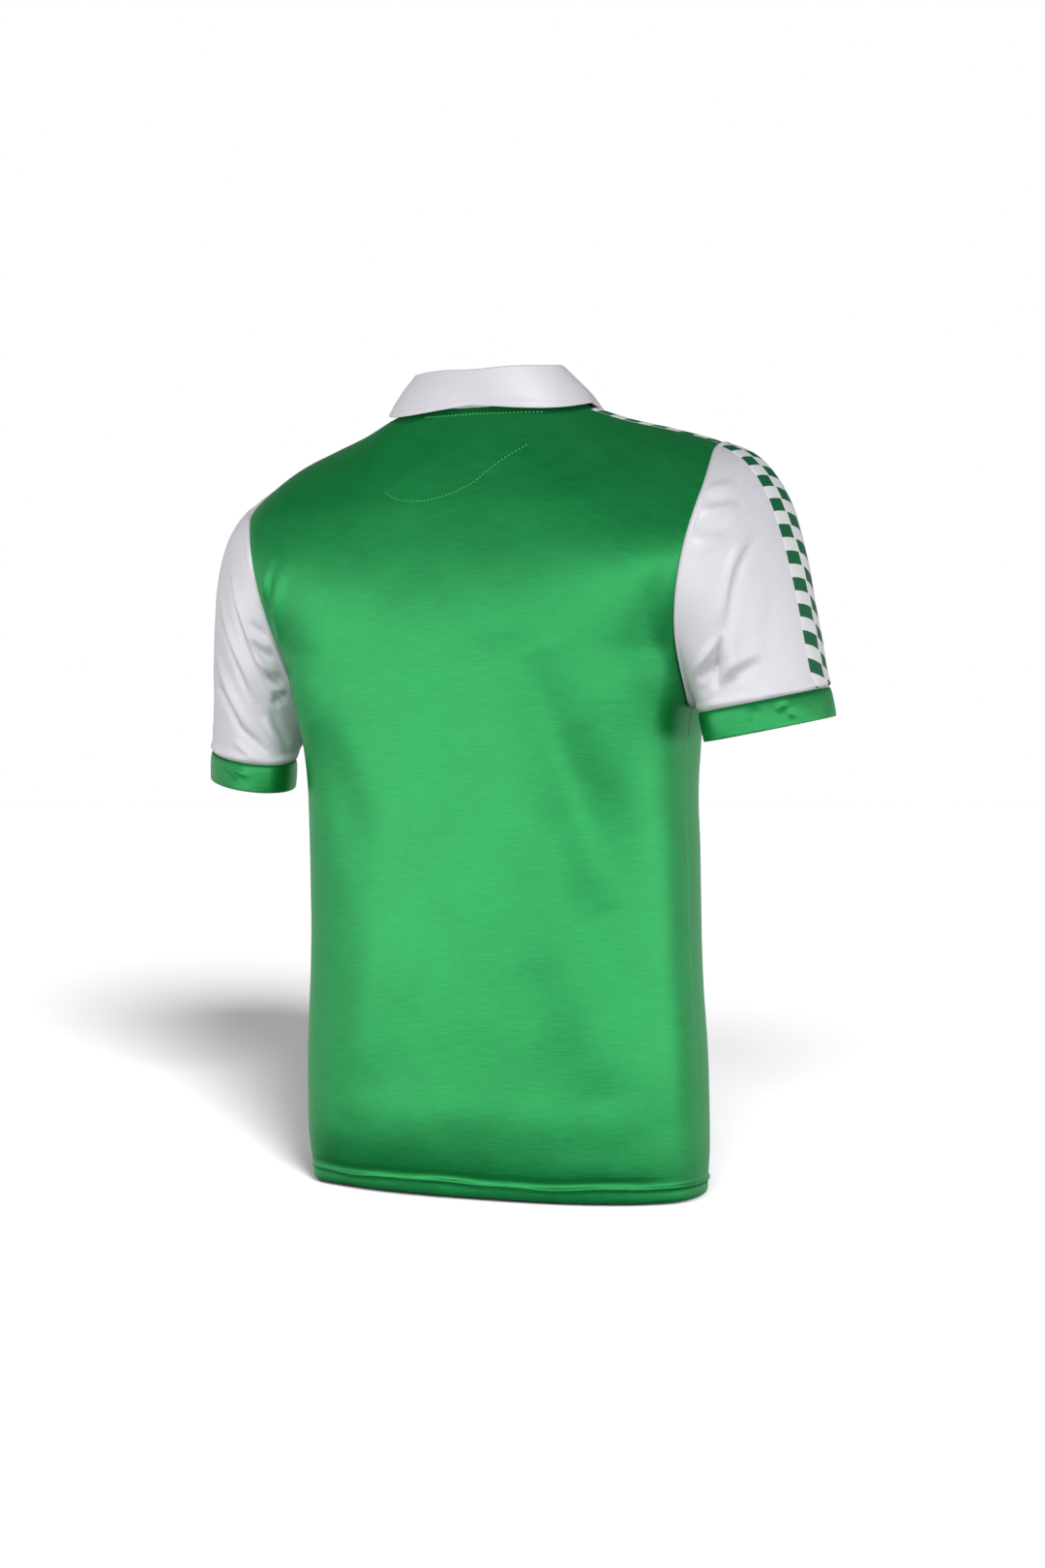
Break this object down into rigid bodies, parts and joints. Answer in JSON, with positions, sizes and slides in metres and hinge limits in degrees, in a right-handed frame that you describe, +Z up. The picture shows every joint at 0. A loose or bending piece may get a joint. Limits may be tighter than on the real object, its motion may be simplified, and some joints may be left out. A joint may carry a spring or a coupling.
{
  "type": "football jersey",
  "caption": "Short-sleeved football jersey filled out as if worn, hollow, with a fold-over collar on a V neck, contrast sleeves, cuff bands, tapes and a turned-up hem.",
  "frame": {"origin": "the neck base, midway between the two points where shoulder seam and neckline meet, where the garment hangs on the wearer's shoulders", "axes": "+Z up, -Y the wearer's front, +Y the back, +X the wearer's left arm"},
  "size_m": [0.6202, 0.2462, 0.7353],
  "materials": {
    "green_knit": "smooth polyester knit with a soft satin sheen",
    "white_knit": "smooth white polyester knit",
    "green_band": "the same satin knit, folded double into a band",
    "tape": "woven tape, white with slanted green bars"
  },
  "bodies": {
    "root": {"back_panel": "green_knit", "front_panel": "green_knit", "sleeve_left": "white_knit", "sleeve_right": "white_knit", "cuff_left": "green_band", "cuff_right": "green_band", "collar": "white_knit", "shoulder_tape_left": "tape", "shoulder_tape_right": "tape", "sleeve_tape_left": "tape", "sleeve_tape_right": "tape"}
  },
  "joints": []
}
